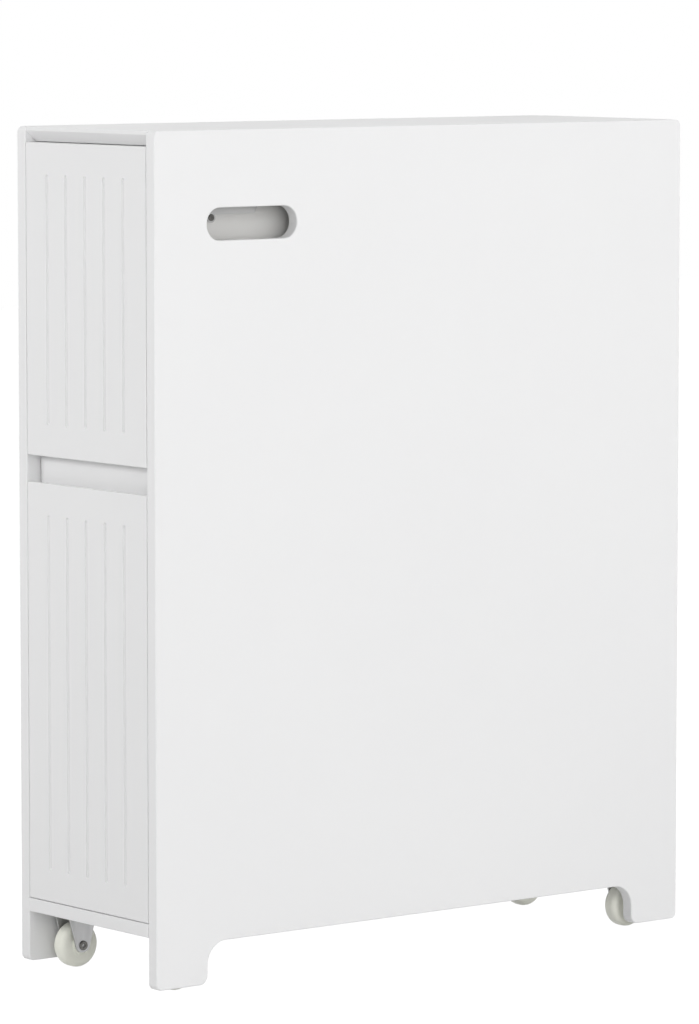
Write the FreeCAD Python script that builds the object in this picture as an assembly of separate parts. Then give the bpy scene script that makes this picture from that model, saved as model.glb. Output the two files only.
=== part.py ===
# Slim rolling bathroom cabinet with two pull-out drawers.
# Millimetres, +Z up, origin on the floor at the middle of the footprint, fronts facing -Y.
import FreeCAD, Part
import math
import os

os.makedirs("parts", exist_ok=True)

V = FreeCAD.Vector
X_AXIS = V(1, 0, 0)
Y_AXIS = V(0, 1, 0)
Z_AXIS = V(0, 0, 1)
same_place = 1e-3

# Carcass
cabinet_width = 200.0
cabinet_depth = 595.0
cabinet_height = 740.0
board = 12.0
top_thickness = 13.0
castor_height = 51.0
foot_clearance = 6.5
panel_corner_radius = 5.5
foot_inner_radius = 8.0
edge_round = 1.2
foot_length = 55.0
foot_cutout_height = 36.5
foot_cutout_radius = 20.0

# Hand slot in the right side panel
slot_length = 97.0
slot_height = 28.0
slot_from_front = 104.3
slot_below_top = 80.2
slot_edge_round = 1.2

# Steel strip on the upper drawer's right side, behind the slot's top edge
strip_thickness = 0.6
strip_below_slot_top = 7.0
strip_above_slot_top = 14.0
strip_ahead_of_slot = 45.0
strip_behind_slot = 21.0
strip_end_slant = 9.0
strip_end_radius = 3.0
strip_lug_radius = 4.5
strip_lug_ahead_of_slot = 26.0
strip_lug_drop = 2.5
strip_screw_inset = 6.0

# Undercut front edge of the top board
undercut_top_setback = 1.5
undercut_bottom_setback = 11.5
undercut_land = 2.3

# Drawer fronts
front_thickness = 12.0
lower_front_height = 367.2
finger_gap = 23.5
front_side_gap = 0.8
front_bottom_gap = 0.6
front_top_gap = 0.6
front_grip_bevel = 8.0
groove_count = 5
groove_spacing = 27.7
groove_radius = 2.1
groove_end_margin = 29.5
front_upright_share = 0.9

# Middle rail and its bumpers
rail_setback = 14.6
rail_below_gap = 18.0
rail_above_gap = 12.0
rail_end_gap = 1.2
bumper_radius = 4.0
bumper_gap = 0.3
bumper_from_side = 30.0

# Back panel
back_thickness = 3.0
back_inset = 10.0
panel_groove_depth = 5.0
groove_clearance = 0.15

# Drawer boxes
box_board = 12.0
box_length = 510.0
box_floor_gap = 8.0
upper_box_rail_gap = 5.0
upper_box_top_gap = 21.7
lower_box_top_gap = 41.8
box_bottom_thickness = 3.0
box_bottom_lift = 10.0
box_groove_depth = 5.0
box_back_drop = 15.0

# Roller runners
runner_gap = 12.5
runner_length = 500.0
runner_from_front = 18.0
runner_above_box_bottom = 40.0
runner_sheet = 1.2
channel_half_height = 10.0
channel_flange = 8.0
channel_flange_from_front = 24.0
rail_flange_gap = 3.0
rail_flange_below = 5.2
rail_web_below = 9.0
roller_radius = 6.5
roller_from_end = 12.0
roller_inner_t = 3.1
roller_outer_t = 7.9
roller_edge_round = 0.5
roller_run_gap = 0.3
roller_bore_radius = 2.05
bore_clearance = 0.05
pin_side_gap = 0.2
pin_head_thickness = 0.6
pin_head_radius = 3.2
runner_screw_count = 3
runner_screw_from_front = 60.0
runner_screw_from_rear = 80.0

# Castors
castor_from_front = 38.5
castor_from_side = 16.0
wheel_radius = 20.0
wheel_width = 15.5
wheel_shoulder = 5.0
wheel_dish = 0.6
wheel_dish_inner_radius = 8.0
wheel_dish_outer_radius = 14.5
wheel_hub_round = 1.0
wheel_dish_round = 0.25
fork_sheet = 2.0
fork_inside = 19.0
fork_bend_radius = 2.0
fork_leg_top = 30.5
fork_leg_tip = 12.0
fork_leg_below_axle = 6.0
tip_round_share = 0.8
fork_hub_gap = 0.3
axle_radius = 3.0
axle_head_radius = 4.3
axle_head_thickness = 1.2
axle_hollow_radius = 1.7
axle_hollow_depth = 4.0
plate_width = 30.0
plate_length = 50.0
plate_corner_radius = 4.0
plate_screw_inset = 4.5

# Fasteners
cam_radius = 6.0
cam_depth = 9.4
cam_from_end = 18.0
drawer_cam_from_edge = 12.0
cam_slot_width = 1.6
cam_slot_depth = 1.5
bolt_thread_radius = 2.5
bolt_thread_depth = 8.0
bolt_collar_radius = 3.4
bolt_collar_length = 1.5
bolt_neck_radius = 2.0
bolt_head_radius = 3.0
bolt_head_length = 3.0
bolt_bore_clearance = 0.2
dowel_radius = 3.0
dowel_length = 24.0
dowel_face_depth = 8.0
dowel_from_cam = 40.0
rail_dowel_offset = 16.0
board_cam_from_end = 100.0
fit_clearance = 0.1
screw_shank_radius = 1.6
screw_head_radius = 3.0
screw_tip_radius = 0.4
screw_head_height = 1.7
plate_screw_length = 8.5
runner_screw_head_height = 0.7
runner_screw_length = 8.0
box_screw_length = 30.0
back_screw_margin = 24.0
cross_width = 0.8
cross_reach = 1.7
cross_depth_share = 0.6
head_round_share = 0.6

# Worked out from the sizes above
inner_half = cabinet_width / 2 - board
front_plane = -cabinet_depth / 2
rear_plane = cabinet_depth / 2
bottom_top = castor_height + board
top_underside = cabinet_height - top_thickness
lower_front_bottom = bottom_top + front_bottom_gap
lower_front_top = lower_front_bottom + lower_front_height
upper_front_bottom = lower_front_top + finger_gap
upper_front_top = top_underside - front_top_gap
front_half_width = inner_half - front_side_gap
front_back = front_plane + front_thickness
rail_bottom = lower_front_top - rail_below_gap
rail_top = upper_front_bottom + rail_above_gap
rail_front = front_plane + rail_setback
rail_back = rail_front + board
back_panel_rear = rear_plane - back_inset
back_panel_front = back_panel_rear - back_thickness
box_half_width = inner_half - runner_gap
box_inner_half = box_half_width - box_board
box_rear = front_back + box_length
runner_front = front_plane + runner_from_front
runner_rear = runner_front + runner_length
front_roller_y = runner_front + roller_from_end
rear_roller_y = runner_rear - roller_from_end
front_roller_drop = roller_radius + roller_run_gap - rail_flange_below
rear_roller_drop = channel_half_height - runner_sheet - roller_run_gap - roller_radius
rail_web_t = runner_gap - runner_sheet
slot_middle_y = front_plane + slot_from_front
slot_middle_z = cabinet_height - slot_below_top
strip_low = slot_middle_z + slot_height / 2 - strip_below_slot_top
strip_high = slot_middle_z + slot_height / 2 + strip_above_slot_top
strip_front = slot_middle_y - strip_ahead_of_slot
strip_rear = slot_middle_y + strip_behind_slot
axle_z = wheel_radius
fork_outside_half = fork_inside / 2 + fork_sheet
plate_underside = castor_height - fork_sheet
bolt_bore_radius = bolt_collar_radius + bolt_bore_clearance
wheel_hub_half = fork_inside / 2 - fork_hub_gap
castor_x = inner_half - castor_from_side
castor_ys = (front_plane + castor_from_front, rear_plane - castor_from_front)
bumper_thickness = rail_setback - front_thickness - bumper_gap


def block(x0, x1, y0, y1, z0, z1):
    """A box between two corners, given in any order along each axis."""
    low = V(min(x0, x1), min(y0, y1), min(z0, z1))
    return Part.makeBox(abs(x1 - x0), abs(y1 - y0), abs(z1 - z0), low)


def rod(start, direction, length, radius):
    """A cylinder from a start point along a direction."""
    return Part.makeCylinder(radius, length, start, direction)


def rounded_face(corners, place):
    """A flat face from (u, v, radius) corners, its rounded corners made with tangent arcs."""
    pieces = []
    count = len(corners)
    starts = []
    ends = []
    middles = []
    for index, (u, v, radius) in enumerate(corners):
        here = V(u, v, 0)
        before = V(corners[index - 1][0], corners[index - 1][1], 0)
        after = V(corners[(index + 1) % count][0], corners[(index + 1) % count][1], 0)
        back = (before - here).normalize()
        ahead = (after - here).normalize()
        half_angle = back.getAngle(ahead) / 2
        reach = radius / math.tan(half_angle)
        inward = (back + ahead).normalize()
        starts.append(here + back * reach)
        ends.append(here + ahead * reach)
        middles.append(here + inward * (radius / math.sin(half_angle) - radius))
    for index in range(count):
        start = place(starts[index])
        end = place(ends[index])
        if corners[index][2] > 0:
            pieces.append(Part.Arc(start, place(middles[index]), end).toShape())
        following = place(starts[(index + 1) % count])
        if (following - end).Length > same_place:
            pieces.append(Part.LineSegment(end, following).toShape())
    return Part.Face(Part.Wire(pieces))


def edges_in_plane(shape, axis, value):
    """The edges of a shape that lie wholly in the plane where one coordinate has a value."""
    found = []
    for edge in shape.Edges:
        box = edge.BoundBox
        low = getattr(box, axis + "Min")
        high = getattr(box, axis + "Max")
        if abs(low - value) < same_place and abs(high - value) < same_place:
            found.append(edge)
    return found


def edges_along(shape, direction):
    """The straight edges of a shape that run along a direction."""
    found = []
    for edge in shape.Edges:
        if isinstance(edge.Curve, Part.Line) and edge.Curve.Direction.cross(direction).Length < same_place:
            found.append(edge)
    return found


def export(node, shape):
    """Write one node, a solid or a group of solids, to its file."""
    shape.exportStep("parts/" + node + ".step")


def export_group(node, solids):
    """Write several like solids as one node."""
    export(node, Part.makeCompound(solids))


def cross_recess(top, direction, depth):
    """The cutter for a cross recess that goes into a screw head from the middle of its top."""
    seat = top + direction * depth
    across = Part.makeBox(2 * cross_reach, cross_width, depth * 2, V(-cross_reach, -cross_width / 2, 0))
    along = Part.makeBox(cross_width, 2 * cross_reach, depth * 2, V(-cross_width / 2, -cross_reach, 0))
    cutter = across.fuse(along)
    cutter.Placement = FreeCAD.Placement(seat, FreeCAD.Rotation(Z_AXIS, direction * -1))
    return cutter


def screw(seat, direction, head_height, length):
    """A round-head screw: the head stands on the seat, and the shank goes along the direction."""
    head_top = seat - direction * head_height
    head = rod(head_top, direction, head_height, screw_head_radius)
    rim = [edge for edge in head.Edges if (edge.CenterOfMass - head_top).Length < same_place]
    head = head.makeFillet(head_height * head_round_share, rim)
    head = head.cut(cross_recess(head_top, direction, head_height * cross_depth_share))
    body = rod(seat, direction, length - screw_shank_radius, screw_shank_radius)
    tip_start = seat + direction * (length - screw_shank_radius)
    tip = Part.makeCone(screw_shank_radius, screw_tip_radius, screw_shank_radius, tip_start, direction)
    return head.fuse([body, tip]).removeSplitter()


def screw_hole(seat, direction, length):
    """The bore that a screw goes into, a little wider and deeper than its shank."""
    return rod(seat, direction, length + 2 * fit_clearance, screw_shank_radius + fit_clearance)


def cam_bolt(face_point, direction, reach):
    """A cam bolt: its thread goes back from the face point, and its head is a reach ahead of it."""
    thread_end = face_point - direction * bolt_thread_depth
    thread = rod(thread_end, direction, bolt_thread_depth, bolt_thread_radius)
    collar = rod(face_point, direction, bolt_collar_length, bolt_collar_radius)
    neck = rod(face_point, direction, reach, bolt_neck_radius)
    head_start = face_point + direction * (reach - bolt_head_length / 2)
    head = rod(head_start, direction, bolt_head_length, bolt_head_radius)
    return thread.fuse([collar, neck, head]).removeSplitter()


def cam_lock(mouth, inward, bolt_from, mid_depth):
    """A cam disc set into a board from its mouth, hollowed where the bolt's head enters it."""
    disc = rod(mouth, inward, cam_depth, cam_radius)
    middle = mouth + inward * mid_depth
    reach = cam_radius + bolt_head_length
    hollow = rod(middle + bolt_from * cam_radius * 2, bolt_from * -1, cam_radius + reach, bolt_bore_radius)
    side = inward.cross(bolt_from)
    slot = block(-cam_radius, cam_radius, -cam_slot_width / 2, cam_slot_width / 2, 0, cam_slot_depth)
    turn = FreeCAD.Rotation(bolt_from, side, inward, "ZXY")
    slot.Placement = FreeCAD.Placement(mouth, turn)
    return disc.cut(hollow).cut(slot)


class BoardJoint:
    """A cam lock, its bolt and a dowel between the end of a board and the face of another board."""

    def __init__(self, face_point, into_board, mouth_offset, inward, dowel_shift):
        reach = cam_from_end
        mouth = face_point + into_board * reach + mouth_offset
        mid_depth = mouth_offset.Length
        self.bolt = cam_bolt(face_point, into_board, reach)
        self.cam = cam_lock(mouth, inward, into_board * -1, mid_depth)
        self.face_holes = [rod(face_point - into_board * (bolt_thread_depth + fit_clearance), into_board,
                               bolt_thread_depth + fit_clearance, bolt_thread_radius + fit_clearance)]
        self.board_holes = [rod(face_point, into_board, reach, bolt_bore_radius),
                            rod(mouth, inward, cam_depth + fit_clearance, cam_radius + fit_clearance)]
        self.dowel = None
        if dowel_shift is not None:
            start = face_point + dowel_shift - into_board * dowel_face_depth
            self.dowel = rod(start, into_board, dowel_length, dowel_radius)
            hole = rod(start - into_board * fit_clearance, into_board,
                       dowel_length + 2 * fit_clearance, dowel_radius + fit_clearance)
            self.face_holes.append(hole)
            self.board_holes.append(hole)


def cut_all(shape, cutters):
    """A shape with a list of cutters taken away."""
    return shape.cut(cutters).removeSplitter() if cutters else shape


# Joints between the carcass boards
def side_name(side):
    return "left" if side < 0 else "right"


carcass_joints = {-1: {"top": [], "bottom": [], "rail": []}, 1: {"top": [], "bottom": [], "rail": []}}
for side in (-1, 1):
    into = X_AXIS * -side
    below = Z_AXIS * (-board / 2)
    for end in (-1, 1):
        cam_y = end * (cabinet_depth / 2 - board_cam_from_end)
        shift = Y_AXIS * (-end * dowel_from_cam)
        top_point = V(side * inner_half, cam_y, top_underside + board / 2)
        carcass_joints[side]["top"].append(BoardJoint(top_point, into, below, Z_AXIS, shift))
        low_point = V(side * inner_half, cam_y, castor_height + board / 2)
        carcass_joints[side]["bottom"].append(BoardJoint(low_point, into, below, Z_AXIS, shift))
    rail_point = V(side * inner_half, rail_front + board / 2, (rail_bottom + rail_top) / 2)
    carcass_joints[side]["rail"].append(
        BoardJoint(rail_point, into, Y_AXIS * (board / 2), Y_AXIS * -1, Z_AXIS * rail_dowel_offset))


def joints_of(board_name, sides=(-1, 1)):
    """The joints of one carcass board, at one end or both."""
    return [joint for side in sides for joint in carcass_joints[side][board_name]]


# Runner places, one runner on each side of each drawer
drawers = {
    "upper": {"front": (upper_front_bottom, upper_front_top),
              "box": (rail_top + upper_box_rail_gap, top_underside - upper_box_top_gap)},
    "lower": {"front": (lower_front_bottom, lower_front_top),
              "box": (bottom_top + box_floor_gap, rail_bottom - lower_box_top_gap)},
}
for drawer in drawers.values():
    drawer["runner_z"] = drawer["box"][0] + runner_above_box_bottom
first_screw_y = runner_front + runner_screw_from_front
last_screw_y = runner_rear - runner_screw_from_rear
runner_screw_ys = [first_screw_y + (last_screw_y - first_screw_y) * step / (runner_screw_count - 1)
                   for step in range(runner_screw_count)]


def runner_point(side, t, y, z):
    """A point of a runner, with t counted from the side panel's inner face towards the drawer."""
    return V(side * (inner_half - t), y, z)


def runner_block(side, t0, t1, y0, y1, z0, z1):
    """A box of a runner between two values of t."""
    return block(side * (inner_half - t0), side * (inner_half - t1), y0, y1, z0, z1)


def channel_screw_seats(side, runner_z):
    return [runner_point(side, runner_sheet, y, runner_z) for y in runner_screw_ys]


def rail_screw_seats(side, runner_z):
    return [runner_point(side, rail_web_t, y, runner_z - rear_roller_drop) for y in runner_screw_ys]


# Side panels
def panel_outline():
    """The side panel's outline in (y, z): a tall board with a cut-out between its two feet."""
    low = foot_clearance
    cut = foot_clearance + foot_cutout_height
    return [(front_plane, cabinet_height, panel_corner_radius),
            (front_plane, low, panel_corner_radius),
            (front_plane + foot_length, low, foot_inner_radius),
            (front_plane + foot_length, cut, foot_cutout_radius),
            (rear_plane - foot_length, cut, foot_cutout_radius),
            (rear_plane - foot_length, low, foot_inner_radius),
            (rear_plane, low, panel_corner_radius),
            (rear_plane, cabinet_height, panel_corner_radius)]


def side_panel(side):
    """A side panel with its slot, its groove for the back panel and its blind bores."""
    outer = side * cabinet_width / 2
    inner = side * inner_half
    low_x = min(outer, inner)
    face = rounded_face(panel_outline(), lambda point: V(low_x, point.x, point.y))
    panel = face.extrude(V(board, 0, 0))
    rims = edges_in_plane(panel, "X", outer) + edges_in_plane(panel, "X", inner)
    panel = panel.makeFillet(edge_round, rims)
    if side > 0:
        ends = slot_length / 2
        half = slot_height / 2
        corners = [(slot_middle_y + a * ends, slot_middle_z + b * half, half) for a, b in
                   ((-1, -1), (1, -1), (1, 1), (-1, 1))]
        slot = rounded_face(corners, lambda point: V(low_x, point.x, point.y)).extrude(V(board, 0, 0))
        panel = panel.cut(slot)
        near_slot = []
        for edge in edges_in_plane(panel, "X", outer) + edges_in_plane(panel, "X", inner):
            centre = edge.BoundBox.Center
            if abs(centre.y - slot_middle_y) <= ends and abs(centre.z - slot_middle_z) <= half:
                near_slot.append(edge)
        panel = panel.makeFillet(slot_edge_round, near_slot)
    groove = block(inner, side * (inner_half + panel_groove_depth),
                   back_panel_front - groove_clearance, back_panel_rear + groove_clearance,
                   bottom_top - panel_groove_depth, top_underside + panel_groove_depth)
    holes = [groove]
    for board_name in ("top", "bottom", "rail"):
        for joint in joints_of(board_name, (side,)):
            holes.extend(joint.face_holes)
    for drawer in drawers.values():
        for seat in channel_screw_seats(side, drawer["runner_z"]):
            holes.append(screw_hole(seat, X_AXIS * side, runner_screw_length))
    return cut_all(panel, holes)


for side in (-1, 1):
    export(side_name(side) + "_side_panel", side_panel(side))


# Top and bottom boards
def top_board():
    """The top board, its front edge cut back underneath for the fingers."""
    section = [(front_plane + undercut_bottom_setback, top_underside, 0),
               (rear_plane, top_underside, 0),
               (rear_plane, cabinet_height, edge_round),
               (front_plane + undercut_top_setback, cabinet_height, edge_round),
               (front_plane + undercut_top_setback, cabinet_height - edge_round - undercut_land, 0)]
    face = rounded_face(section, lambda point: V(-inner_half, point.x, point.y))
    plank = face.extrude(V(2 * inner_half, 0, 0))
    cutters = [block(-inner_half, inner_half, back_panel_front - groove_clearance,
                     back_panel_rear + groove_clearance, top_underside, top_underside + panel_groove_depth)]
    for joint in joints_of("top"):
        cutters.extend(joint.board_holes)
    return cut_all(plank, cutters)


def plate_screw_points():
    """The castor plates' screws, four to a plate, on the plate's underside."""
    points = []
    for x in (-castor_x, castor_x):
        for y in castor_ys:
            for a in (-1, 1):
                for b in (-1, 1):
                    points.append(V(x + a * (plate_width / 2 - plate_screw_inset),
                                    y + b * (plate_length / 2 - plate_screw_inset), plate_underside))
    return points


def bottom_board():
    """The bottom board, with the castors screwed to its underside."""
    plank = block(-inner_half, inner_half, front_plane, rear_plane, castor_height, bottom_top)
    rims = [edge for edge in edges_along(plank, X_AXIS)
            if abs(edge.CenterOfMass.y - front_plane) < same_place]
    plank = plank.makeFillet(edge_round, rims)
    cutters = [block(-inner_half, inner_half, back_panel_front - groove_clearance,
                     back_panel_rear + groove_clearance, bottom_top - panel_groove_depth, bottom_top)]
    for joint in joints_of("bottom"):
        cutters.extend(joint.board_holes)
    for point in plate_screw_points():
        cutters.append(screw_hole(point, Z_AXIS, fork_sheet + plate_screw_length))
    return cut_all(plank, cutters)


export("top_board", top_board())
export("bottom_board", bottom_board())


# Middle rail, its bumpers and the back panel
def middle_rail():
    """The upright rail that closes the finger gap from behind."""
    half = inner_half - rail_end_gap
    plank = block(-half, half, rail_front, rail_back, rail_bottom, rail_top)
    plank = plank.makeFillet(edge_round, edges_along(plank, X_AXIS))
    cutters = []
    for joint in joints_of("rail"):
        cutters.extend(joint.board_holes)
    return cut_all(plank, cutters)


export("middle_rail", middle_rail())

bumpers = []
bumper_zs = (upper_front_bottom + (rail_top - upper_front_bottom) / 2,
             rail_bottom + (lower_front_top - front_grip_bevel - rail_bottom) / 2)
for x in (-inner_half + bumper_from_side, inner_half - bumper_from_side):
    for z in bumper_zs:
        dot = rod(V(x, rail_front, z), Y_AXIS * -1, bumper_thickness, bumper_radius)
        rim = edges_in_plane(dot, "Y", rail_front - bumper_thickness)
        bumpers.append(dot.makeFillet(bumper_thickness * head_round_share, rim))
export_group("front_bumpers", bumpers)

back_tuck = panel_groove_depth - groove_clearance
back_half = inner_half + back_tuck
export("back_panel", block(-back_half, back_half, back_panel_front, back_panel_rear,
                           bottom_top - back_tuck, top_underside + back_tuck))

# Fasteners of the carcass
carcass_all = joints_of("top") + joints_of("bottom") + joints_of("rail")
export_group("carcass_cam_locks", [joint.cam for joint in carcass_all])
export_group("carcass_cam_bolts", [joint.bolt for joint in carcass_all])
export_group("carcass_dowels", [joint.dowel for joint in carcass_all])


# Castors
def castor_fork(x, y):
    """A pressed fork: a flat plate, and under it a strip bent into a U whose legs taper to the axle."""
    corners = [(x + a * plate_width / 2, y + b * plate_length / 2, plate_corner_radius)
               for a, b in ((-1, -1), (1, -1), (1, 1), (-1, 1))]
    plate = rounded_face(corners, lambda point: V(point.x, point.y, plate_underside))
    fork = plate.extrude(V(0, 0, fork_sheet))
    half_top = fork_leg_top / 2
    half_tip = fork_leg_tip / 2
    tip_z = axle_z - fork_leg_below_axle
    leg_corners = [(y - half_top, plate_underside, 0),
                   (y - half_tip, tip_z, half_tip * tip_round_share),
                   (y + half_tip, tip_z, half_tip * tip_round_share),
                   (y + half_top, plate_underside, 0)]
    legs = rounded_face(leg_corners, lambda point: V(x - fork_outside_half, point.x, point.y))
    legs = legs.extrude(V(2 * fork_outside_half, 0, 0))
    inside_half = fork_inside / 2
    web_underside = plate_underside - fork_sheet
    strip_corners = [(x - fork_outside_half, tip_z, 0),
                     (x - fork_outside_half, plate_underside, fork_bend_radius + fork_sheet),
                     (x + fork_outside_half, plate_underside, fork_bend_radius + fork_sheet),
                     (x + fork_outside_half, tip_z, 0),
                     (x + inside_half, tip_z, 0),
                     (x + inside_half, web_underside, fork_bend_radius),
                     (x - inside_half, web_underside, fork_bend_radius),
                     (x - inside_half, tip_z, 0)]
    strip = rounded_face(strip_corners, lambda point: V(point.x, y - half_top, point.y))
    fork = fork.fuse(strip.extrude(V(0, fork_leg_top, 0)).common(legs))
    bore_start = V(x - fork_outside_half, y, axle_z)
    cutters = [rod(bore_start, X_AXIS, 2 * fork_outside_half, axle_radius + bore_clearance)]
    for point in plate_screw_points():
        cutters.append(screw_hole(point, Z_AXIS, fork_sheet + plate_screw_length))
    return cut_all(fork, cutters)


def castor_wheel(x, y):
    """A one-piece wheel with rounded shoulders, dished sides and a hub that reaches the fork."""
    half = wheel_width / 2
    dish = half - wheel_dish
    bore = axle_radius + bore_clearance
    corners = [(-wheel_hub_half, bore, 0),
               (-wheel_hub_half, wheel_dish_inner_radius, wheel_hub_round),
               (-dish, wheel_dish_inner_radius, wheel_dish_round),
               (-dish, wheel_dish_outer_radius, wheel_dish_round),
               (-half, wheel_dish_outer_radius, wheel_dish_round),
               (-half, wheel_radius, wheel_shoulder)]
    mirrored = [(-u, v, r) for u, v, r in reversed(corners)]
    face = rounded_face(corners + mirrored, lambda point: V(point.x, 0, point.y))
    wheel = face.revolve(V(0, 0, 0), X_AXIS, 360)
    wheel.translate(V(x, y, axle_z))
    return wheel


def castor_axle(x, y):
    """A hollow rivet through the fork, with a head on each side."""
    length = 2 * fork_outside_half
    start = V(x - fork_outside_half, y, axle_z)
    rivet = rod(start, X_AXIS, length, axle_radius)
    for end, way in ((start, X_AXIS * -1), (start + X_AXIS * length, X_AXIS)):
        head = rod(end, way, axle_head_thickness, axle_head_radius)
        hollow_start = end + way * axle_head_thickness
        rim = edges_in_plane(head, "X", hollow_start.x)
        rivet = rivet.fuse(head.makeFillet(axle_head_thickness * head_round_share, rim))
        rivet = rivet.cut(rod(hollow_start, way * -1, axle_hollow_depth, axle_hollow_radius))
    return rivet.removeSplitter()


axles = []
for x in (-castor_x, castor_x):
    for row, y in zip(("front", "rear"), castor_ys):
        place = row + "_" + side_name(x)
        export(place + "_castor_fork", castor_fork(x, y))
        export(place + "_castor_wheel", castor_wheel(x, y))
        axles.append(castor_axle(x, y))
export_group("castor_axles", axles)
export_group("castor_screws", [screw(point, Z_AXIS, screw_head_height, fork_sheet + plate_screw_length)
                               for point in plate_screw_points()])


# Runners
def runner_channel(side, runner_z):
    """The runner's fixed member: a channel open towards the drawer."""
    low = runner_z - channel_half_height
    high = runner_z + channel_half_height
    shape = runner_block(side, 0, runner_sheet, runner_front, runner_rear, low, high)
    lower = runner_block(side, 0, channel_flange, runner_front, runner_rear, low, low + runner_sheet)
    upper = runner_block(side, 0, channel_flange, runner_front + channel_flange_from_front, runner_rear,
                         high - runner_sheet, high)
    shape = shape.fuse([lower, upper])
    cutters = [screw_hole(runner_point(side, 0, seat.y, seat.z) - X_AXIS * side * runner_sheet,
                          X_AXIS * side, runner_screw_length)
               for seat in channel_screw_seats(side, runner_z)]
    return cut_all(shape, cutters)


def runner_rail(side, runner_z):
    """The runner's moving member: an angle on the drawer side, its flange over the front roller."""
    flange_low = runner_z + rail_flange_below
    flange_high = flange_low + runner_sheet
    web = runner_block(side, rail_web_t, runner_gap, runner_front, runner_rear,
                       runner_z - rail_web_below, flange_high)
    flange = runner_block(side, rail_flange_gap, runner_gap, runner_front, runner_rear,
                          flange_low, flange_high)
    shape = web.fuse(flange)
    cutters = [screw_hole(seat, X_AXIS * -side, runner_screw_length)
               for seat in rail_screw_seats(side, runner_z)]
    return cut_all(shape, cutters)


def roller(side, y, z):
    """A nylon roller with a plain bore."""
    start = runner_point(side, roller_inner_t, y, z)
    width = roller_outer_t - roller_inner_t
    disc = rod(start, X_AXIS * -side, width, roller_radius)
    rims = [edge for edge in disc.Edges if isinstance(edge.Curve, Part.Circle)]
    disc = disc.makeFillet(roller_edge_round, rims)
    return disc.cut(rod(start, X_AXIS * -side, width, roller_bore_radius))


def roller_pin(side, y, z, base_t, head_t):
    """A pin from a runner member at base_t through the roller to a head at head_t."""
    way = 1 if head_t > base_t else -1
    direction = X_AXIS * (-side * way)
    near_t = roller_inner_t - pin_side_gap if way > 0 else roller_outer_t + pin_side_gap
    far_t = roller_outer_t + pin_side_gap if way > 0 else roller_inner_t - pin_side_gap
    collar = rod(runner_point(side, base_t, y, z), direction, abs(near_t - base_t), pin_head_radius)
    journal = rod(runner_point(side, base_t, y, z), direction, abs(head_t - base_t),
                  roller_bore_radius - bore_clearance)
    head = rod(runner_point(side, far_t, y, z), direction, pin_head_thickness, pin_head_radius)
    return collar.fuse([journal, head]).removeSplitter()


front_pin_head_t = roller_outer_t + pin_side_gap + pin_head_thickness
rear_pin_head_t = roller_inner_t - pin_side_gap - pin_head_thickness
channel_pins = []
channel_screws = []
for name, drawer in drawers.items():
    runner_z = drawer["runner_z"]
    rail_pins = []
    rail_screws = []
    for side in (-1, 1):
        label = name + "_" + side_name(side)
        export(label + "_runner_channel", runner_channel(side, runner_z))
        export(label + "_runner_rail", runner_rail(side, runner_z))
        export(label + "_front_roller", roller(side, front_roller_y, runner_z - front_roller_drop))
        export(label + "_rear_roller", roller(side, rear_roller_y, runner_z - rear_roller_drop))
        channel_pins.append(roller_pin(side, front_roller_y, runner_z - front_roller_drop,
                                       runner_sheet, front_pin_head_t))
        rail_pins.append(roller_pin(side, rear_roller_y, runner_z - rear_roller_drop,
                                    rail_web_t, rear_pin_head_t))
        for seat in channel_screw_seats(side, runner_z):
            channel_screws.append(screw(seat, X_AXIS * side, runner_screw_head_height, runner_screw_length))
        for seat in rail_screw_seats(side, runner_z):
            rail_screws.append(screw(seat, X_AXIS * -side, runner_screw_head_height, runner_screw_length))
    export_group(name + "_rail_pins", rail_pins)
    export_group(name + "_rail_screws", rail_screws)
export_group("channel_pins", channel_pins)
export_group("channel_screws", channel_screws)


# Strip behind the slot
strip_face_x = box_half_width + strip_thickness
strip_lug = V(strip_face_x, slot_middle_y - strip_lug_ahead_of_slot, strip_low - strip_lug_drop)
strip_rear_screw = V(strip_face_x, strip_rear - strip_screw_inset, strip_high - strip_screw_inset)
strip_screw_seats = [strip_lug, strip_rear_screw]
strip_bores = [screw_hole(seat, X_AXIS * -1, runner_screw_length) for seat in strip_screw_seats]


def side_strip():
    """A thin strip with a slanted rear end, and a round lug under it for the front screw."""
    outline = [(strip_front, strip_low, strip_end_radius),
               (strip_rear, strip_low, strip_end_radius),
               (strip_rear + strip_end_slant, strip_high, strip_end_radius),
               (strip_front, strip_high, strip_end_radius)]
    face = rounded_face(outline, lambda point: V(box_half_width, point.x, point.y))
    sheet = face.extrude(X_AXIS * strip_thickness)
    lug = rod(strip_lug, X_AXIS * -1, strip_thickness, strip_lug_radius)
    return cut_all(sheet.fuse(lug).removeSplitter(), strip_bores)


export("upper_drawer_side_strip", side_strip())
strip_screws = [screw(seat, X_AXIS * -1, runner_screw_head_height, runner_screw_length)
                for seat in strip_screw_seats]
export_group("upper_drawer_strip_screws", strip_screws)


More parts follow.
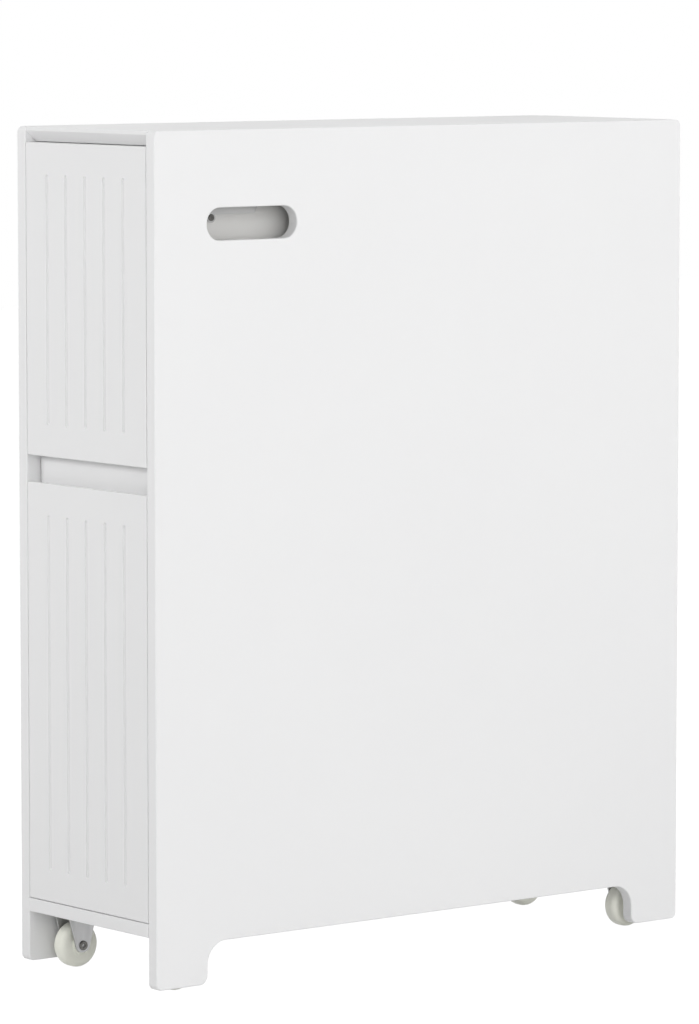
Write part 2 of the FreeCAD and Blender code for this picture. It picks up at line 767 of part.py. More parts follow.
# Drawers
def drawer_front(low, high, hooked):
    """A grooved front. A hooked one has its top rear edge bevelled, so that fingers reach behind it."""
    section = [(front_plane, low, edge_round), (front_back, low, 0)]
    if hooked:
        section.append((front_back, high - front_grip_bevel, 0))
        section.append((front_back - front_grip_bevel, high, 0))
    else:
        section.append((front_back, high, 0))
    section.append((front_plane, high, edge_round))
    face = rounded_face(section, lambda point: V(-front_half_width, point.x, point.y))
    panel = face.extrude(V(2 * front_half_width, 0, 0))
    uprights = [edge for edge in edges_along(panel, Z_AXIS)
                if abs(edge.CenterOfMass.y - front_plane) < same_place]
    panel = panel.makeFillet(edge_round * front_upright_share, uprights)
    grooves = []
    for index in range(groove_count):
        x = (index - (groove_count - 1) / 2) * groove_spacing
        start = V(x, front_plane, low + groove_end_margin)
        end = V(x, front_plane, high - groove_end_margin)
        grooves.append(rod(start, Z_AXIS, end.z - start.z, groove_radius))
        grooves.append(Part.makeSphere(groove_radius, start))
        grooves.append(Part.makeSphere(groove_radius, end))
    return panel, grooves


def drawer_joints(low, high, side):
    """The cam joints between a drawer side and its front, one near each edge of the side."""
    joints = []
    floor_top = low + box_bottom_lift + box_bottom_thickness
    for z in (floor_top + drawer_cam_from_edge, high - drawer_cam_from_edge):
        point = V(side * (box_half_width - box_board / 2), front_back, z)
        joints.append(BoardJoint(point, Y_AXIS, X_AXIS * (-side * box_board / 2), X_AXIS * side, None))
    return joints


for name, drawer in drawers.items():
    front_low, front_high = drawer["front"]
    low, high = drawer["box"]
    runner_z = drawer["runner_z"]
    floor_low = low + box_bottom_lift
    floor_high = floor_low + box_bottom_thickness
    floor_tuck = box_groove_depth - groove_clearance
    floor_groove = block(-box_inner_half - box_groove_depth, box_inner_half + box_groove_depth,
                         front_back - box_groove_depth, box_rear,
                         floor_low - groove_clearance, floor_high + groove_clearance)
    joints = {side: drawer_joints(low, high, side) for side in (-1, 1)}
    panel, front_cutters = drawer_front(front_low, front_high, name == "lower")
    front_cutters.append(floor_groove)
    for side in (-1, 1):
        for joint in joints[side]:
            front_cutters.extend(joint.face_holes)
    export(name + "_drawer_front", cut_all(panel, front_cutters))

    back_front = box_rear - box_board
    back_top = high - box_back_drop
    back_screws = []
    for side in (-1, 1):
        for z in (runner_z + channel_half_height + back_screw_margin, back_top - back_screw_margin):
            seat = V(side * box_half_width, back_front + box_board / 2, z)
            back_screws.append((seat, X_AXIS * -side))
    screw_bores = [screw_hole(seat, way, box_screw_length) for seat, way in back_screws]
    for side in (-1, 1):
        plank = block(side * box_inner_half, side * box_half_width, front_back, box_rear, low, high)
        plank = plank.makeFillet(edge_round, [edge for edge in edges_along(plank, Y_AXIS)
                                              if abs(edge.CenterOfMass.z - high) < same_place])
        cutters = [floor_groove] + screw_bores
        for joint in joints[side]:
            cutters.extend(joint.board_holes)
        for seat in rail_screw_seats(side, runner_z):
            cutters.append(screw_hole(seat, X_AXIS * -side, runner_screw_length))
        if name == "upper" and side > 0:
            cutters.extend(strip_bores)
        export(name + "_drawer_" + side_name(side) + "_side", cut_all(plank, cutters))

    back = block(-box_inner_half, box_inner_half, back_front, box_rear, floor_high, back_top)
    back = back.makeFillet(edge_round, [edge for edge in edges_along(back, X_AXIS)
                                        if abs(edge.CenterOfMass.z - back_top) < same_place])
    export(name + "_drawer_back", cut_all(back, screw_bores))
    export(name + "_drawer_bottom", block(-box_inner_half - floor_tuck, box_inner_half + floor_tuck,
                                          front_back - floor_tuck, box_rear, floor_low, floor_high))
    export_group(name + "_drawer_cam_locks", [joint.cam for side in (-1, 1) for joint in joints[side]])
    export_group(name + "_drawer_cam_bolts", [joint.bolt for side in (-1, 1) for joint in joints[side]])
    export_group(name + "_drawer_screws", [screw(seat, way, screw_head_height, box_screw_length)
                                           for seat, way in back_screws])
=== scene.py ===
# %% [markdown]
# # A slim rolling bathroom cabinet
# The real object is a narrow, deep cabinet in white lacquered board with two drawers that pull out of
# its narrow end. It stands on four fixed castors with cream nylon wheels, so that it rolls out of a gap.
# The boards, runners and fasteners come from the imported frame. This lesson gives them their finishes,
# models the castors again as bent sheet and turned nylon, and sets up the studio and the camera.

# %% Load the frame
import math
import bmesh
import bpy
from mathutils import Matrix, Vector


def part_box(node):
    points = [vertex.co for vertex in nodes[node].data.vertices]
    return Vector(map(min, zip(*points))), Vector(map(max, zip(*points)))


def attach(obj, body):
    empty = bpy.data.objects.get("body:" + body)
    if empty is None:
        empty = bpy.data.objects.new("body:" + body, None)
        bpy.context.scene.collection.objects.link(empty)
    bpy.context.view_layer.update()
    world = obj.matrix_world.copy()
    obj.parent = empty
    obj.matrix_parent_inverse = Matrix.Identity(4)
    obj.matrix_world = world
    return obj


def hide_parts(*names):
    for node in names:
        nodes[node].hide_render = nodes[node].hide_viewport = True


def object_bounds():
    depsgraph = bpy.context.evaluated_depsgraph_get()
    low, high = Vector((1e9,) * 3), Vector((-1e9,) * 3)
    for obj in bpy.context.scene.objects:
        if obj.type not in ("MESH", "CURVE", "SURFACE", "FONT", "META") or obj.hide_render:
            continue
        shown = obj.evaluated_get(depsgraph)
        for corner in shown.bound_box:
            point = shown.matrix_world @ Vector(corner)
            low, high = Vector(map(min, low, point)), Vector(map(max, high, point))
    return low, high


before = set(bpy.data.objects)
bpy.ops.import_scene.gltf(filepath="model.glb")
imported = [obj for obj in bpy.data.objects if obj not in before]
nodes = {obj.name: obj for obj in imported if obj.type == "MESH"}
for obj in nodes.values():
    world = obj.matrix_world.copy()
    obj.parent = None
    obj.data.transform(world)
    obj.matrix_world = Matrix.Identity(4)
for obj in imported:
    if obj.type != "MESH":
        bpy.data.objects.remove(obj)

cad_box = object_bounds()

# %% [markdown]
# ## Effects that several finishes share
# A sprayed board, a moulded wheel and a pressed bracket all vary a little over their surface. Each such
# effect could be drawn again in every material. It is built once as a node group instead, with named
# inputs, so that one change reaches every finish. A group gives out colours and values only, and the
# shader itself stays in the material.

# %% A helper that starts a node group
def start_group(name, inputs, outputs):
    """A new shader node group with its sockets, its input node and its output node."""
    group = bpy.data.node_groups.new(name, "ShaderNodeTree")
    for label, kind, value in inputs:
        socket = group.interface.new_socket(label, in_out="INPUT", socket_type=kind)
        socket.default_value = value
    for label, kind in outputs:
        group.interface.new_socket(label, in_out="OUTPUT", socket_type=kind)
    return group, group.nodes.new("NodeGroupInput"), group.nodes.new("NodeGroupOutput")


def object_noise(group, scale_socket, stretch_socket, detail):
    """A noise texture on Object coordinates, which are stretched along the piece's axes."""
    place = group.nodes.new("ShaderNodeTexCoord")
    stretch = group.nodes.new("ShaderNodeVectorMath")
    stretch.operation = "MULTIPLY"
    group.links.new(place.outputs["Object"], stretch.inputs[0])
    group.links.new(stretch_socket, stretch.inputs[1])
    noise = group.nodes.new("ShaderNodeTexNoise")
    noise.inputs["Detail"].default_value = detail
    group.links.new(stretch.outputs["Vector"], noise.inputs["Vector"])
    group.links.new(scale_socket, noise.inputs["Scale"])
    return noise


print("helpers:", start_group.__name__, object_noise.__name__)

# %% [markdown]
# ## Tone drift
# No painted or moulded surface has exactly one colour. Here a soft cloud of noise moves between two
# colours that are almost the same. A painted texture could do this too, but noise on Object coordinates
# needs no image and has no seams.

# %% Tone drift group
NOISE_LOW = 0.3
NOISE_HIGH = 0.7


def spread_noise(group, noise):
    """Spread the useful middle of a noise over the whole range from zero to one."""
    spread = group.nodes.new("ShaderNodeMapRange")
    spread.inputs["From Min"].default_value = NOISE_LOW
    spread.inputs["From Max"].default_value = NOISE_HIGH
    group.links.new(noise.outputs["Fac"], spread.inputs["Value"])
    return spread


tone_drift, inside, outside = start_group(
    "tone_drift",
    [("Light", "NodeSocketColor", (0.8, 0.8, 0.8, 1)), ("Dark", "NodeSocketColor", (0.7, 0.7, 0.7, 1)),
     ("Scale", "NodeSocketFloat", 8.0), ("Stretch", "NodeSocketVector", (1, 1, 1))],
    [("Color", "NodeSocketColor")])
clouds = object_noise(tone_drift, inside.outputs["Scale"], inside.outputs["Stretch"], detail=3.0)
share = spread_noise(tone_drift, clouds)
blend = tone_drift.nodes.new("ShaderNodeMix")
blend.data_type = "RGBA"
tone_drift.links.new(share.outputs["Result"], blend.inputs["Factor"])
tone_drift.links.new(inside.outputs["Light"], blend.inputs["A"])
tone_drift.links.new(inside.outputs["Dark"], blend.inputs["B"])
tone_drift.links.new(blend.outputs["Result"], outside.inputs["Color"])
print("group:", tone_drift.name)

# %% [markdown]
# ## Gloss drift and surface skin
# Spray lacquer is never equally glossy everywhere, and its skin has a fine orange peel. The first group
# spreads the roughness between two values. The second gives a height for a Bump node: broad ripples
# with finer grain on top, both far below a millimetre.

# %% Gloss drift and surface skin groups
gloss_drift, inside, outside = start_group(
    "gloss_drift",
    [("Smooth", "NodeSocketFloat", 0.3), ("Rough", "NodeSocketFloat", 0.45),
     ("Scale", "NodeSocketFloat", 12.0), ("Stretch", "NodeSocketVector", (1, 1, 1))],
    [("Roughness", "NodeSocketFloat")])
clouds = object_noise(gloss_drift, inside.outputs["Scale"], inside.outputs["Stretch"], detail=4.0)
spread = spread_noise(gloss_drift, clouds)
gloss_drift.links.new(inside.outputs["Smooth"], spread.inputs["To Min"])
gloss_drift.links.new(inside.outputs["Rough"], spread.inputs["To Max"])
gloss_drift.links.new(spread.outputs["Result"], outside.inputs["Roughness"])

surface_skin, inside, outside = start_group(
    "surface_skin",
    [("Ripple Scale", "NodeSocketFloat", 120.0), ("Grain Scale", "NodeSocketFloat", 900.0),
     ("Grain Share", "NodeSocketFloat", 0.3), ("Stretch", "NodeSocketVector", (1, 1, 1))],
    [("Height", "NodeSocketFloat")])
ripple = object_noise(surface_skin, inside.outputs["Ripple Scale"], inside.outputs["Stretch"], detail=1.0)
grain = object_noise(surface_skin, inside.outputs["Grain Scale"], inside.outputs["Stretch"], detail=2.0)
both = surface_skin.nodes.new("ShaderNodeMath")
both.operation = "MULTIPLY_ADD"
surface_skin.links.new(grain.outputs["Fac"], both.inputs[0])
surface_skin.links.new(inside.outputs["Grain Share"], both.inputs[1])
surface_skin.links.new(ripple.outputs["Fac"], both.inputs[2])
surface_skin.links.new(both.outputs["Value"], outside.inputs["Height"])
print("groups:", gloss_drift.name, surface_skin.name)

# %% [markdown]
# ## One recipe for every finish
# Each finish is a Principled BSDF with a drifting colour, a drifting roughness and a bumped skin. A long
# list of nodes could be written out for each one. One function builds them all, and each finish then
# only says its own numbers. What is the same all over, such as metallic, is set on the shader itself.

# %% The finish recipe
MM = 0.001


def make_finish(name, light, dark, tone_scale, smooth, rough, gloss_scale, ripple, grain, depth,
                metallic=0.0, stretch=(1, 1, 1), grain_share=0.3):
    """A material from the shared groups. Depth is the height of its skin in metres."""
    material = bpy.data.materials.new(name)
    material.use_nodes = True
    tree = material.node_tree
    shader = tree.nodes["Principled BSDF"]
    shader.inputs["Metallic"].default_value = metallic

    tone = tree.nodes.new("ShaderNodeGroup")
    tone.node_tree = tone_drift
    tone.inputs["Light"].default_value = (*light, 1)
    tone.inputs["Dark"].default_value = (*dark, 1)
    tone.inputs["Scale"].default_value = tone_scale
    tone.inputs["Stretch"].default_value = stretch
    tree.links.new(tone.outputs["Color"], shader.inputs["Base Color"])

    gloss = tree.nodes.new("ShaderNodeGroup")
    gloss.node_tree = gloss_drift
    gloss.inputs["Smooth"].default_value = smooth
    gloss.inputs["Rough"].default_value = rough
    gloss.inputs["Scale"].default_value = gloss_scale
    gloss.inputs["Stretch"].default_value = stretch
    tree.links.new(gloss.outputs["Roughness"], shader.inputs["Roughness"])

    skin = tree.nodes.new("ShaderNodeGroup")
    skin.node_tree = surface_skin
    skin.inputs["Ripple Scale"].default_value = ripple
    skin.inputs["Grain Scale"].default_value = grain
    skin.inputs["Grain Share"].default_value = grain_share
    skin.inputs["Stretch"].default_value = stretch
    bump = tree.nodes.new("ShaderNodeBump")
    bump.inputs["Distance"].default_value = depth
    tree.links.new(skin.outputs["Height"], bump.inputs["Height"])
    tree.links.new(bump.outputs["Normal"], shader.inputs["Normal"])
    return material


print("recipe:", make_finish.__name__)

# %% [markdown]
# ## White boards
# The cabinet and its fronts are fibreboard under sprayed satin white lacquer. The drawer boxes are
# white-faced board, a little duller, and their grey is made darker still as painted shade for the inside
# seen through the side slot. The thin back and drawer bottoms are hardboard with a painted face, whose fine
# felt-like grain shows through. The lacquer and the hardboard differ in gloss and grain more than in
# colour.

# %% White board finishes
white_lacquer = make_finish(
    "white_lacquer", light=(0.880, 0.880, 0.882), dark=(0.866, 0.866, 0.869), tone_scale=3.0,
    smooth=0.36, rough=0.46, gloss_scale=9.0, ripple=260.0, grain=1400.0, depth=0.05 * MM)
# The drawer box colour is partly the board's own duller white and partly painted shade, darkened for the
# inside seen through the slot.
box_white_painted_shade = make_finish(
    "box_white_painted_shade", light=(0.665, 0.660, 0.645), dark=(0.645, 0.640, 0.624), tone_scale=6.0,
    smooth=0.44, rough=0.56, gloss_scale=14.0, ripple=500.0, grain=2200.0, depth=0.06 * MM)
painted_hardboard = make_finish(
    "painted_hardboard", light=(0.835, 0.832, 0.822), dark=(0.805, 0.801, 0.790), tone_scale=18.0,
    smooth=0.55, rough=0.72, gloss_scale=40.0, ripple=700.0, grain=2600.0, depth=0.12 * MM, grain_share=0.8)
print("boards:", white_lacquer.name, box_white_painted_shade.name, painted_hardboard.name)

# %% [markdown]
# ## Metals
# The castor brackets are pressed from zinc-plated sheet, which is grey and slightly cloudy, with faint
# lines along the leg from rolling. The axle rivets are darker. The screws of the strip behind the slot get
# the same dark finish, partly as dark metal and partly as painted shade for the shadow round their heads.
# Other screws and bolts are bright zinc, the cam discs are cast and duller, and the runners have a
# cream-white baked enamel. The thin strip behind the slot is plated sheet too. Stretching the noise along
# one axis turns clouds into rolling lines.

# %% Metal finishes
castor_steel = make_finish(
    "castor_steel", light=(0.50, 0.50, 0.502), dark=(0.43, 0.43, 0.434), tone_scale=140.0,
    smooth=0.34, rough=0.5, gloss_scale=220.0, ripple=500.0, grain=2400.0, depth=0.03 * MM,
    metallic=0.85, stretch=(1.0, 1.0, 0.15))
# Dark metal for the castor axle rivets. On the slot strip's screws it is also painted shade.
dark_rivet = make_finish(
    "dark_rivet", light=(0.17, 0.166, 0.158), dark=(0.10, 0.098, 0.093), tone_scale=300.0,
    smooth=0.28, rough=0.45, gloss_scale=400.0, ripple=700.0, grain=3000.0, depth=0.03 * MM, metallic=0.95)
bright_steel = make_finish(
    "bright_steel", light=(0.66, 0.665, 0.67), dark=(0.56, 0.565, 0.575), tone_scale=260.0,
    smooth=0.22, rough=0.36, gloss_scale=420.0, ripple=800.0, grain=3200.0, depth=0.02 * MM, metallic=1.0)
cast_zinc = make_finish(
    "cast_zinc", light=(0.52, 0.525, 0.53), dark=(0.42, 0.425, 0.435), tone_scale=200.0,
    smooth=0.4, rough=0.58, gloss_scale=300.0, ripple=900.0, grain=2600.0, depth=0.05 * MM, metallic=0.95)
strip_steel = make_finish(
    "strip_steel", light=(0.48, 0.48, 0.477), dark=(0.43, 0.43, 0.43), tone_scale=90.0,
    smooth=0.32, rough=0.46, gloss_scale=160.0, ripple=500.0, grain=2400.0, depth=0.03 * MM,
    metallic=0.85, stretch=(1.0, 0.15, 1.0))
runner_enamel = make_finish(
    "runner_enamel", light=(0.80, 0.79, 0.755), dark=(0.77, 0.76, 0.725), tone_scale=30.0,
    smooth=0.3, rough=0.42, gloss_scale=60.0, ripple=420.0, grain=1800.0, depth=0.06 * MM)
print("metals:", castor_steel.name, dark_rivet.name, bright_steel.name, cast_zinc.name, strip_steel.name,
      runner_enamel.name)

# %% [markdown]
# ## Nylon, rubber and beech
# The wheels are cream nylon, slightly green in the shade and semi-gloss from the mould. The runner
# rollers are whiter. The stick-on bumpers are soft clear-grey rubber, and the dowels are beech, whose
# grain runs along their length, so its noise is stretched along X.

# %% Nylon, rubber and beech finishes
wheel_nylon = make_finish(
    "wheel_nylon", light=(0.96, 0.965, 0.87), dark=(0.94, 0.945, 0.845), tone_scale=60.0,
    smooth=0.3, rough=0.42, gloss_scale=90.0, ripple=350.0, grain=1500.0, depth=0.04 * MM)
roller_nylon = make_finish(
    "roller_nylon", light=(0.82, 0.82, 0.79), dark=(0.78, 0.78, 0.75), tone_scale=90.0,
    smooth=0.32, rough=0.44, gloss_scale=120.0, ripple=500.0, grain=1800.0, depth=0.03 * MM)
bumper_rubber = make_finish(
    "bumper_rubber", light=(0.62, 0.62, 0.61), dark=(0.55, 0.55, 0.54), tone_scale=220.0,
    smooth=0.4, rough=0.6, gloss_scale=200.0, ripple=600.0, grain=2000.0, depth=0.04 * MM)
beech = make_finish(
    "beech", light=(0.66, 0.46, 0.29), dark=(0.50, 0.32, 0.18), tone_scale=420.0,
    smooth=0.5, rough=0.68, gloss_scale=300.0, ripple=600.0, grain=2400.0, depth=0.1 * MM,
    stretch=(0.12, 1.0, 1.0))
print("others:", wheel_nylon.name, roller_nylon.name, bumper_rubber.name, beech.name)

# %% [markdown]
# ## Dress the frame's pieces
# Every piece of the frame gets its finish here. The pieces' names say what they are, so a short list of
# name endings is enough, and the first ending that fits decides.

# %% Assign the finishes
finish_by_ending = [
    (("_drawer_bottom", "back_panel"), painted_hardboard),
    (("_drawer_left_side", "_drawer_right_side", "_drawer_back"), box_white_painted_shade),
    (("_side_panel", "top_board", "bottom_board", "middle_rail", "_drawer_front"), white_lacquer),
    (("_castor_fork",), castor_steel),
    # The strip's screws take the dark rivet finish, partly as painted shade round their heads.
    (("castor_axles", "_strip_screws"), dark_rivet),
    (("_side_strip",), strip_steel),
    (("_castor_wheel",), wheel_nylon),
    (("_roller",), roller_nylon),
    (("_runner_channel", "_runner_rail"), runner_enamel),
    (("_pins", "_screws", "_cam_bolts"), bright_steel),
    (("_cam_locks",), cast_zinc),
    (("_dowels",), beech),
    (("front_bumpers",), bumper_rubber),
]


def finish_for(name):
    """The finish of a piece, from the end of its name."""
    for endings, finish in finish_by_ending:
        if name.endswith(endings):
            return finish
    raise KeyError(name)


for name, piece in nodes.items():
    piece.data.materials.clear()
    piece.data.materials.append(finish_for(name))
print("dressed:", len(nodes), "pieces")

# %% [markdown]
# ## Castor brackets
# On the real castor, a strip of sheet steel is bent into a U and fixed under a plate, and its legs taper
# to a round tip at the axle. A box with cut corners would miss the bends. Here the sheet's middle line
# is drawn with four points, its two upper corners are rounded, and it is extruded into a strip. Two
# slanted cuts taper the legs, and Solidify gives the sheet its thickness, as the press does.

# %% The shape of a bracket
SHEET = 2.0 * MM
FORK_INSIDE = 19.0 * MM
LEG_TOP = 30.5 * MM
LEG_TIP = 12.0 * MM
BEND_RADIUS = 3.5 * MM
TIP_ROUND = 4.8 * MM
PLATE_CORNER = 4.0 * MM
BEND_STEPS = 5
TIP_STEPS = 6
SAME_HEIGHT = 0.01 * MM


def all_of(shape):
    """All elements of a bmesh, as its operators take them."""
    return shape.verts[:] + shape.edges[:] + shape.faces[:]


def bracket_sheet(low, high):
    """The middle surface of a castor bracket that fills a frame piece's box: a bent strip and a plate."""
    middle = (low + high) / 2
    half = FORK_INSIDE / 2 + SHEET / 2
    web_height = high.z - 1.5 * SHEET
    shape = bmesh.new()
    line = [shape.verts.new((middle.x + x, middle.y - LEG_TOP / 2, z))
            for x, z in ((-half, low.z), (-half, web_height), (half, web_height), (half, low.z))]
    for start, end in zip(line, line[1:]):
        shape.edges.new((start, end))
    bmesh.ops.bevel(shape, geom=line[1:3], offset=BEND_RADIUS, segments=BEND_STEPS, profile=0.5,
                    affect="VERTICES", material=-1)
    strip = bmesh.ops.extrude_edge_only(shape, edges=shape.edges[:])
    drawn = [part for part in strip["geom"] if isinstance(part, bmesh.types.BMVert)]
    bmesh.ops.translate(shape, vec=(0, LEG_TOP, 0), verts=drawn)
    for side in (-1, 1):
        tip = Vector((0, middle.y + side * LEG_TIP / 2, low.z))
        slope = Vector((0, side * (LEG_TOP - LEG_TIP) / 2, high.z - SHEET - low.z))
        outward = Vector((0, side * slope.z, -side * slope.y))
        bmesh.ops.bisect_plane(shape, geom=all_of(shape), plane_co=tip, plane_no=outward, clear_outer=True)
    tips = [vert for vert in shape.verts if abs(vert.co.z - low.z) < SAME_HEIGHT]
    bmesh.ops.bevel(shape, geom=tips, offset=TIP_ROUND, segments=TIP_STEPS, profile=0.5,
                    affect="VERTICES", material=-1)
    size = high - low
    plate = bmesh.ops.create_grid(shape, x_segments=1, y_segments=1, size=0.5)["verts"]
    bmesh.ops.scale(shape, vec=(size.x, size.y, 1), verts=plate)
    bmesh.ops.translate(shape, vec=(middle.x, middle.y, high.z - SHEET / 2), verts=plate)
    bmesh.ops.bevel(shape, geom=plate, offset=PLATE_CORNER, segments=BEND_STEPS, profile=0.5,
                    affect="VERTICES", material=-1)
    bmesh.ops.recalc_face_normals(shape, faces=shape.faces[:])
    return shape


print("bracket:", round(LEG_TOP / MM, 1), "mm wide at the plate")

# %% [markdown]
# ## Set the brackets in place
# The cabinet has four brackets, and each fills the box of its piece in the frame. They could be copies
# that are moved about, but building each one in its place keeps every object at the origin. Solidify
# gives the sheet its wall, and a narrow bevel takes the sharpness off its cut edges.

# %% Make the brackets
SHEET_EDGE = 0.25 * MM
SHEET_EDGE_STEPS = 2
CUT_EDGE_ANGLE = 50


def piece_from(name, shape, finish, crease_angle=30):
    """A scene object from a bmesh, with smooth faces that break at edges sharper than an angle."""
    mesh = bpy.data.meshes.new(name)
    shape.to_mesh(mesh)
    shape.free()
    mesh.shade_smooth()
    mesh.set_sharp_from_angle(angle=math.radians(crease_angle))
    mesh.materials.append(finish)
    piece = bpy.data.objects.new(name, mesh)
    bpy.context.scene.collection.objects.link(piece)
    return piece


castor_places = [row + "_" + side for row in ("front", "rear") for side in ("left", "right")]
for place in castor_places:
    node = place + "_castor_fork"
    bracket = piece_from(place + "_bracket", bracket_sheet(*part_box(node)), castor_steel)
    wall = bracket.modifiers.new("sheet", "SOLIDIFY")
    wall.thickness = SHEET
    wall.offset = 0.0
    rim = bracket.modifiers.new("edges", "BEVEL")
    rim.width = SHEET_EDGE
    rim.segments = SHEET_EDGE_STEPS
    rim.limit_method = "ANGLE"
    rim.angle_limit = math.radians(CUT_EDGE_ANGLE)
    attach(bracket, "cabinet")
    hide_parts(node)
print("brackets:", len(castor_places))

# %% [markdown]
# ## Castor wheels
# The wheel is one nylon moulding with rounded shoulders and shallow dished sides. A cylinder with bevels
# would not have the dish. Half of its outline is drawn as a few points, each corner gets its own
# rounding, and the outline is spun round the axle, the way a lathe would turn it.

# %% Model the wheels
WHEEL_WIDTH = 15.5 * MM
WHEEL_CROWN = 0.15 * MM
DISH_DEPTH = 0.6 * MM
DISH_OUTER = 14.0 * MM
DISH_INNER = 8.0 * MM
DISH_ROUND = 0.8 * MM
HUB_ROUND = 1.0 * MM
BORE = 3.05 * MM
BORE_ROUND = 0.2 * MM
SHOULDER = 5.0 * MM
ROUND_STEPS = 6
WHEEL_STEPS = 96


def wheel_shape(low, high):
    """A turned wheel that fills a frame piece's box, its axle along X."""
    middle = (low + high) / 2
    radius = (high.z - low.z) / 2
    hub = (high.x - low.x) / 2
    half = WHEEL_WIDTH / 2
    dish = half - DISH_DEPTH
    corners = [(hub, BORE, BORE_ROUND), (hub, DISH_INNER, HUB_ROUND),
               (dish, DISH_INNER + DISH_DEPTH, DISH_ROUND), (half, DISH_OUTER, DISH_ROUND),
               (half, radius - WHEEL_CROWN, SHOULDER)]
    outline = corners + [(0.0, radius, 0.0)] + [(-x, r, rounding) for x, r, rounding in reversed(corners)]
    shape = bmesh.new()
    points = [shape.verts.new((middle.x + x, middle.y, middle.z + r)) for x, r, _ in outline]
    for start, end in zip(points, points[1:] + points[:1]):
        shape.edges.new((start, end))
    for point, (_, _, rounding) in zip(points, outline):
        if rounding > 0:
            bmesh.ops.bevel(shape, geom=[point], offset=rounding, segments=ROUND_STEPS, profile=0.5,
                            affect="VERTICES", material=-1)
    bmesh.ops.spin(shape, geom=shape.verts[:] + shape.edges[:], cent=middle, axis=(1, 0, 0),
                   angle=2 * math.pi, steps=WHEEL_STEPS, use_merge=True)
    bmesh.ops.recalc_face_normals(shape, faces=shape.faces[:])
    return shape


for place in castor_places:
    node = place + "_castor_wheel"
    wheel = piece_from(place + "_nylon_wheel", wheel_shape(*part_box(node)), wheel_nylon, crease_angle=40)
    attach(wheel, place + "_wheel")
    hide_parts(node)
print("wheels:", len(castor_places))

# %% [markdown]
# ## The floor
# The cabinet stands on a plain white floor. Paint alone would look grey here, and stronger lamps would
# bleach the cabinet. So the floor has two paints: what the camera and the reflections see glows almost
# white, and what lights the cabinet is duller. The Light Path node chooses between them, and the floor
# keeps a faint shadow.

# %% Floor
FLOOR_SIZE = 16.0
FLOOR_SEEN = (0.25, 0.25, 0.25, 1)
FLOOR_SEEN_GLOW = 0.96
FLOOR_BOUNCE = (0.65, 0.65, 0.65, 1)
FLOOR_BOUNCE_GLOW = 0.06


def seen_share(tree):
    """One for rays from the camera, from a reflection or through glass, and none for the light itself."""
    path = tree.nodes.new("ShaderNodeLightPath")
    share = path.outputs["Is Camera Ray"]
    for label in ("Is Glossy Ray", "Is Transmission Ray"):
        larger = tree.nodes.new("ShaderNodeMath")
        larger.operation = "MAXIMUM"
        tree.links.new(share, larger.inputs[0])
        tree.links.new(path.outputs[label], larger.inputs[1])
        share = larger.outputs["Value"]
    return share


def lit_paint(tree, colour, glow_level):
    """A matt paint with a light of its own, as a floor under many lamps has."""
    paint = tree.nodes.new("ShaderNodeBsdfDiffuse")
    paint.inputs["Color"].default_value = colour
    glow = tree.nodes.new("ShaderNodeEmission")
    glow.inputs["Strength"].default_value = glow_level
    both = tree.nodes.new("ShaderNodeAddShader")
    tree.links.new(paint.outputs["BSDF"], both.inputs[0])
    tree.links.new(glow.outputs["Emission"], both.inputs[1])
    return both.outputs["Shader"]


floor_paint = bpy.data.materials.new("floor_paint")
floor_paint.use_nodes = True
tree = floor_paint.node_tree
tree.nodes.remove(tree.nodes["Principled BSDF"])
choice = tree.nodes.new("ShaderNodeMixShader")
tree.links.new(seen_share(tree), choice.inputs["Fac"])
tree.links.new(lit_paint(tree, FLOOR_BOUNCE, FLOOR_BOUNCE_GLOW), choice.inputs[1])
tree.links.new(lit_paint(tree, FLOOR_SEEN, FLOOR_SEEN_GLOW), choice.inputs[2])
tree.links.new(choice.outputs["Shader"], tree.nodes["Material Output"].inputs["Surface"])

shape = bmesh.new()
bmesh.ops.create_grid(shape, x_segments=1, y_segments=1, size=FLOOR_SIZE / 2)
floor = piece_from("floor", shape, floor_paint)
print("floor:", FLOOR_SIZE, "m wide")

# %% [markdown]
# ## The sky
# Behind the floor there is only the world. It is white where it is seen or mirrored, and lights the
# cabinet much less, with the same choice of rays as on the floor.

# %% Sky
WHITE = (1, 1, 1, 1)
SKY_SEEN = 1.0
SKY_LIGHT = 0.21

sky = bpy.data.worlds.new("studio_sky")
sky.use_nodes = True
bpy.context.scene.world = sky
tree = sky.node_tree
tree.nodes["Background"].inputs["Color"].default_value = WHITE
sky_level = tree.nodes.new("ShaderNodeMapRange")
sky_level.inputs["To Min"].default_value = SKY_LIGHT
sky_level.inputs["To Max"].default_value = SKY_SEEN
tree.links.new(seen_share(tree), sky_level.inputs["Value"])
tree.links.new(sky_level.outputs["Result"], tree.nodes["Background"].inputs["Strength"])
print("sky:", sky.name)

# %% [markdown]
# ## The lamps
# The light is very soft and brightest on the broad side of the cabinet. One small lamp would draw hard
# shadows, so several wide panels share the work. The front one stands well back, because a near one would
# bleach an open drawer. The panels stay out of reflections, or the glossy top would turn into a mirror
# of them when seen from low down.

# %% Light panels
cabinet_middle = (cad_box[0] + cad_box[1]) / 2


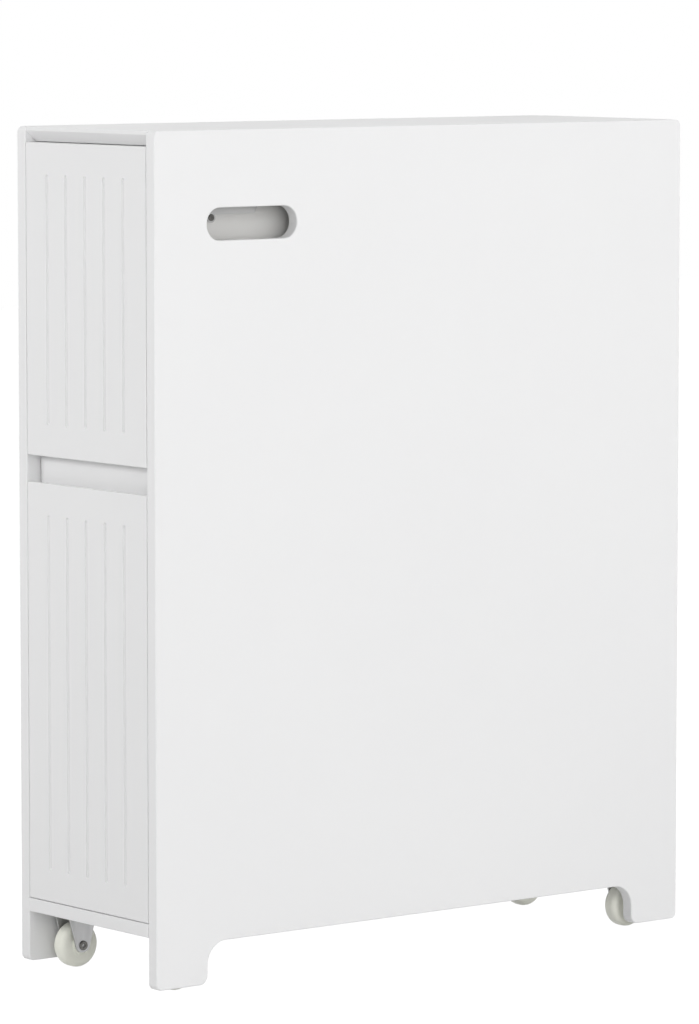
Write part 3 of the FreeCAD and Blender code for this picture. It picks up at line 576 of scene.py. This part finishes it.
def light_panel(name, place, width, height, watts):
    """A large soft panel that faces the middle of the cabinet and doesn't show in reflections."""
    lamp = bpy.data.lights.new(name, "AREA")
    lamp.shape = "RECTANGLE"
    lamp.size = width
    lamp.size_y = height
    lamp.energy = watts
    panel = bpy.data.objects.new(name, lamp)
    panel.location = place
    panel.visible_glossy = False
    panel.rotation_euler = (cabinet_middle - Vector(place)).to_track_quat("-Z", "Y").to_euler()
    bpy.context.scene.collection.objects.link(panel)


# Name, place, width and height in metres, and strength in watts
studio_panels = [
    ("side_light", (2.6, 0.4, 1.3), 5.0, 2.2, 52),
    ("corner_light", (2.2, -2.0, 1.3), 3.0, 2.0, 18),
    ("front_light", (-0.45, -1.85, 1.05), 0.8, 0.5, 10.7),
    ("top_light", (0.1, -0.1, 2.5), 1.6, 1.6, 9.5),
    ("left_light", (-2.4, 0.0, 1.0), 1.6, 1.2, 14),
    ("rear_light", (0.3, 2.6, 1.0), 1.2, 1.2, 12),
]
for name, place, width, height, watts in studio_panels:
    light_panel(name, place, width, height, watts)
print("lights:", len(studio_panels), "panels")

# %% [markdown]
# ## The camera
# The photograph was taken with a long lens from the front right, a little above the cabinet's top. The
# place, angle and lens were fitted to the cabinet's corners, so the outlines fall where they do there.
# A long lens far away keeps the sides almost parallel, as on a catalogue picture.

# %% Camera
CAMERA_PLACE = (3.8329, -3.0642, 0.8708)
CAMERA_TURN = 51.427
CAMERA_DROP = 5.568
CAMERA_LENS = 193.74
SENSOR_WIDTH = 36.0
FARTHEST_SEEN = 200.0

lens = bpy.data.cameras.new("photo_camera")
lens.lens = CAMERA_LENS
lens.sensor_width = SENSOR_WIDTH
lens.clip_end = FARTHEST_SEEN
camera = bpy.data.objects.new("photo_camera", lens)
camera.location = CAMERA_PLACE
camera.rotation_euler = (math.radians(90 - CAMERA_DROP), 0, math.radians(CAMERA_TURN))
bpy.context.scene.collection.objects.link(camera)
bpy.context.scene.camera = camera
bpy.context.scene.view_settings.view_transform = "Standard"
print("camera:", CAMERA_LENS, "mm lens")
